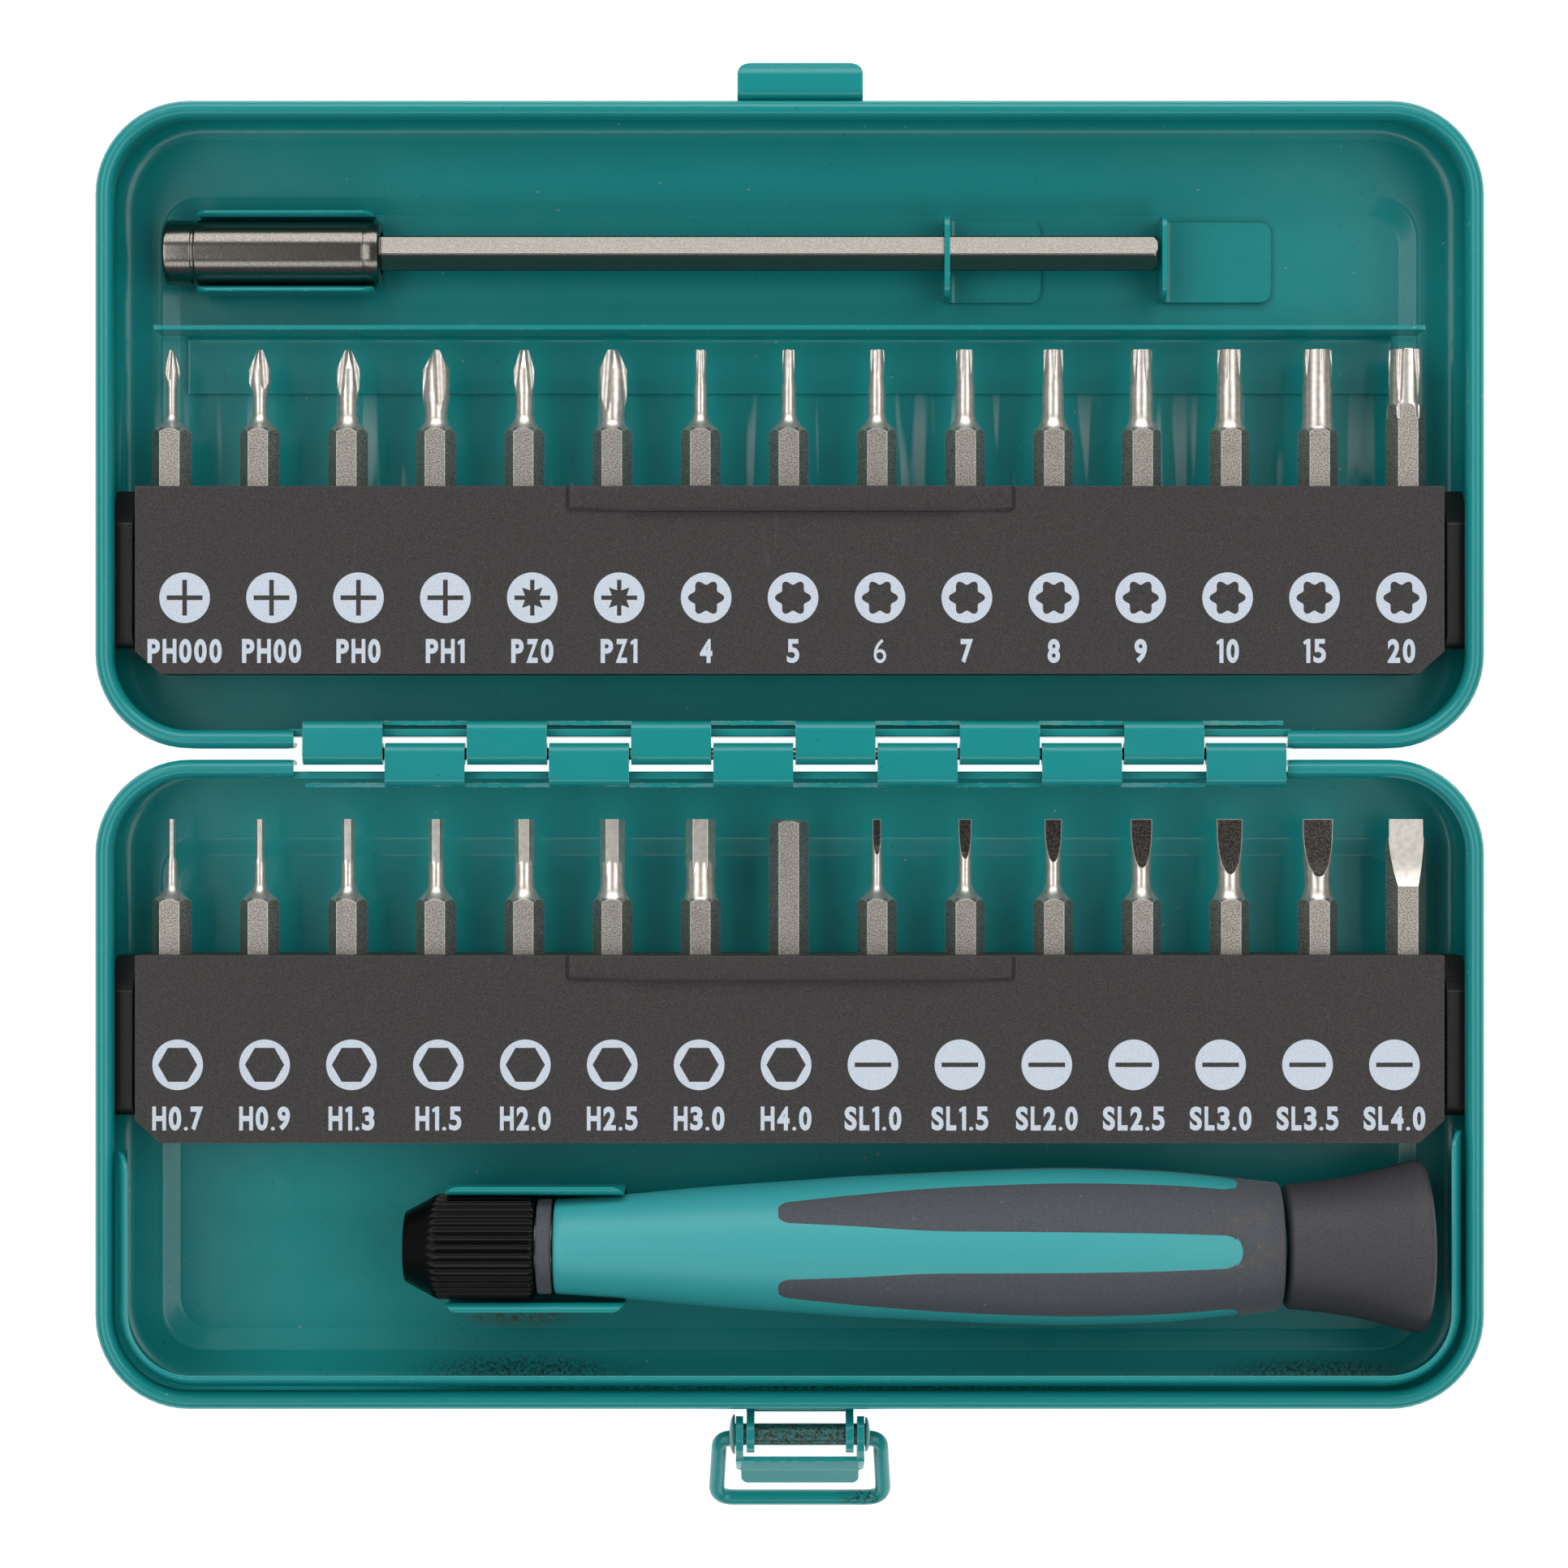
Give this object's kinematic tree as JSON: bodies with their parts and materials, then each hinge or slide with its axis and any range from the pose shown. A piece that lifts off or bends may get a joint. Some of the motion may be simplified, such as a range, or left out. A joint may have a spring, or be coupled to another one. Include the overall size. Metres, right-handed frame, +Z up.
{
  "type": "precision screwdriver set",
  "caption": "Hinged steel case with a latch, tilting bit holders full of hex-shank driver bits, a swivel-cap precision handle and a clipped-in extension bar.",
  "frame": {"origin": "middle of the footprint of the open case, on the table", "axes": "+X along the hinge, towards the handle's swivel cap; +Y from the base, which holds the handle, to the lid, which holds the extension; +Z up"},
  "size_m": [0.159, 0.1676, 0.0211],
  "materials": {
    "painted_steel": "glossy dark teal paint on thin sheet steel, worn at the rims",
    "teal_plastic": "satin moulded teal plastic",
    "soft_grey": "matte grey soft-touch plastic",
    "dark_plastic": "fine-grained charcoal moulded plastic",
    "black_metal": "black oxide, satin",
    "bit_steel": "satin nickel plate",
    "wire_steel": "bright plated steel"
  },
  "bodies": {
    "case_base": {"base_shell": "painted_steel", "base_hinge_leaf": "painted_steel", "hinge_pin": "wire_steel", "dust_lip": "painted_steel", "handle_clip": "painted_steel", "latch_bracket": "painted_steel", "latch_rivet": "painted_steel", "lower_bracket_left": "dark_plastic", "lower_bracket_right": "dark_plastic"},
    "case_lid": {"lid_shell": "painted_steel", "lid_hinge_leaf": "painted_steel", "bit_divider": "painted_steel", "extension_clip": "painted_steel", "extension_guide": "painted_steel", "extension_stop": "painted_steel", "latch_catch": "painted_steel", "upper_bracket_left": "dark_plastic", "upper_bracket_right": "dark_plastic"},
    "upper_holder": {"upper_bit_holder": "dark_plastic", "bit_ph000": "bit_steel", "bit_ph00": "bit_steel", "bit_ph0": "bit_steel", "bit_ph1": "bit_steel", "bit_pz0": "bit_steel", "bit_pz1": "bit_steel", "bit_star_4": "bit_steel", "bit_star_5": "bit_steel", "bit_star_6": "bit_steel", "bit_star_7": "bit_steel", "bit_star_8": "bit_steel", "bit_star_9": "bit_steel", "bit_star_10": "bit_steel", "bit_star_15": "bit_steel", "bit_star_20": "bit_steel"},
    "lower_holder": {"lower_bit_holder": "dark_plastic", "bit_hex_0.7": "bit_steel", "bit_hex_0.9": "bit_steel", "bit_hex_1.3": "bit_steel", "bit_hex_1.5": "bit_steel", "bit_hex_2.0": "bit_steel", "bit_hex_2.5": "bit_steel", "bit_hex_3.0": "bit_steel", "bit_hex_4.0": "bit_steel", "bit_slot_1.0": "bit_steel", "bit_slot_1.5": "bit_steel", "bit_slot_2.0": "bit_steel", "bit_slot_2.5": "bit_steel", "bit_slot_3.0": "bit_steel", "bit_slot_3.5": "bit_steel", "bit_slot_4.0": "bit_steel"},
    "extension": {"extension_shank": "bit_steel", "extension_sleeve": "bit_steel"},
    "handle": {"handle_grip": "teal_plastic", "handle_inlay": "soft_grey", "handle_front_ring": "soft_grey", "collet": "bit_steel"},
    "chuck": {"chuck_nut": "black_metal"},
    "cap": {"swivel_cap": "soft_grey"},
    "latch": {"latch_lever": "painted_steel"},
    "bail": {"latch_bail": "painted_steel"}
  },
  "joints": [
    {"name": "lid_hinge", "type": "hinge", "parent": "case_base", "child": "case_lid", "pos_m": [0, 0.00443, 0.0145], "axis": [-1, 0, 0], "range_deg": [-180, 0]},
    {"name": "upper_holder_tilt", "type": "hinge", "parent": "case_lid", "child": "upper_holder", "pos_m": [0, 0.01951, 0.0082], "axis": [1, 0, 0], "range_deg": [0, 65]},
    {"name": "lower_holder_tilt", "type": "hinge", "parent": "case_base", "child": "lower_holder", "pos_m": [0, -0.03426, 0.0082], "axis": [1, 0, 0], "range_deg": [0, 65]},
    {"name": "extension_tilt", "type": "hinge", "parent": "case_lid", "child": "extension", "pos_m": [0.01825, 0.06284, 0.0052], "axis": [0, 1, 0], "range_deg": [0, 5]},
    {"name": "handle_lift", "type": "slide", "parent": "case_base", "child": "handle", "axis": [0, 0, 1], "range_m": [0, 0.03]},
    {"name": "chuck_turn", "type": "hinge", "parent": "handle", "child": "chuck", "pos_m": [-0.036, -0.05217, 0.0113], "axis": [1, 0, 0], "continuous": true},
    {"name": "cap_swivel", "type": "hinge", "parent": "handle", "child": "cap", "pos_m": [0.065, -0.05217, 0.0113], "axis": [1, 0, 0], "continuous": true},
    {"name": "latch_pivot", "type": "hinge", "parent": "case_base", "child": "latch", "pos_m": [0.0012, -0.07387, 0.0106], "axis": [-1, 0, 0], "range_deg": [-17, 115]},
    {"name": "bail_swing", "type": "hinge", "parent": "latch", "child": "bail", "pos_m": [0.0012, -0.07486, 0.00735], "axis": [1, 0, 0], "range_deg": [-152.4, 25]}
  ]
}
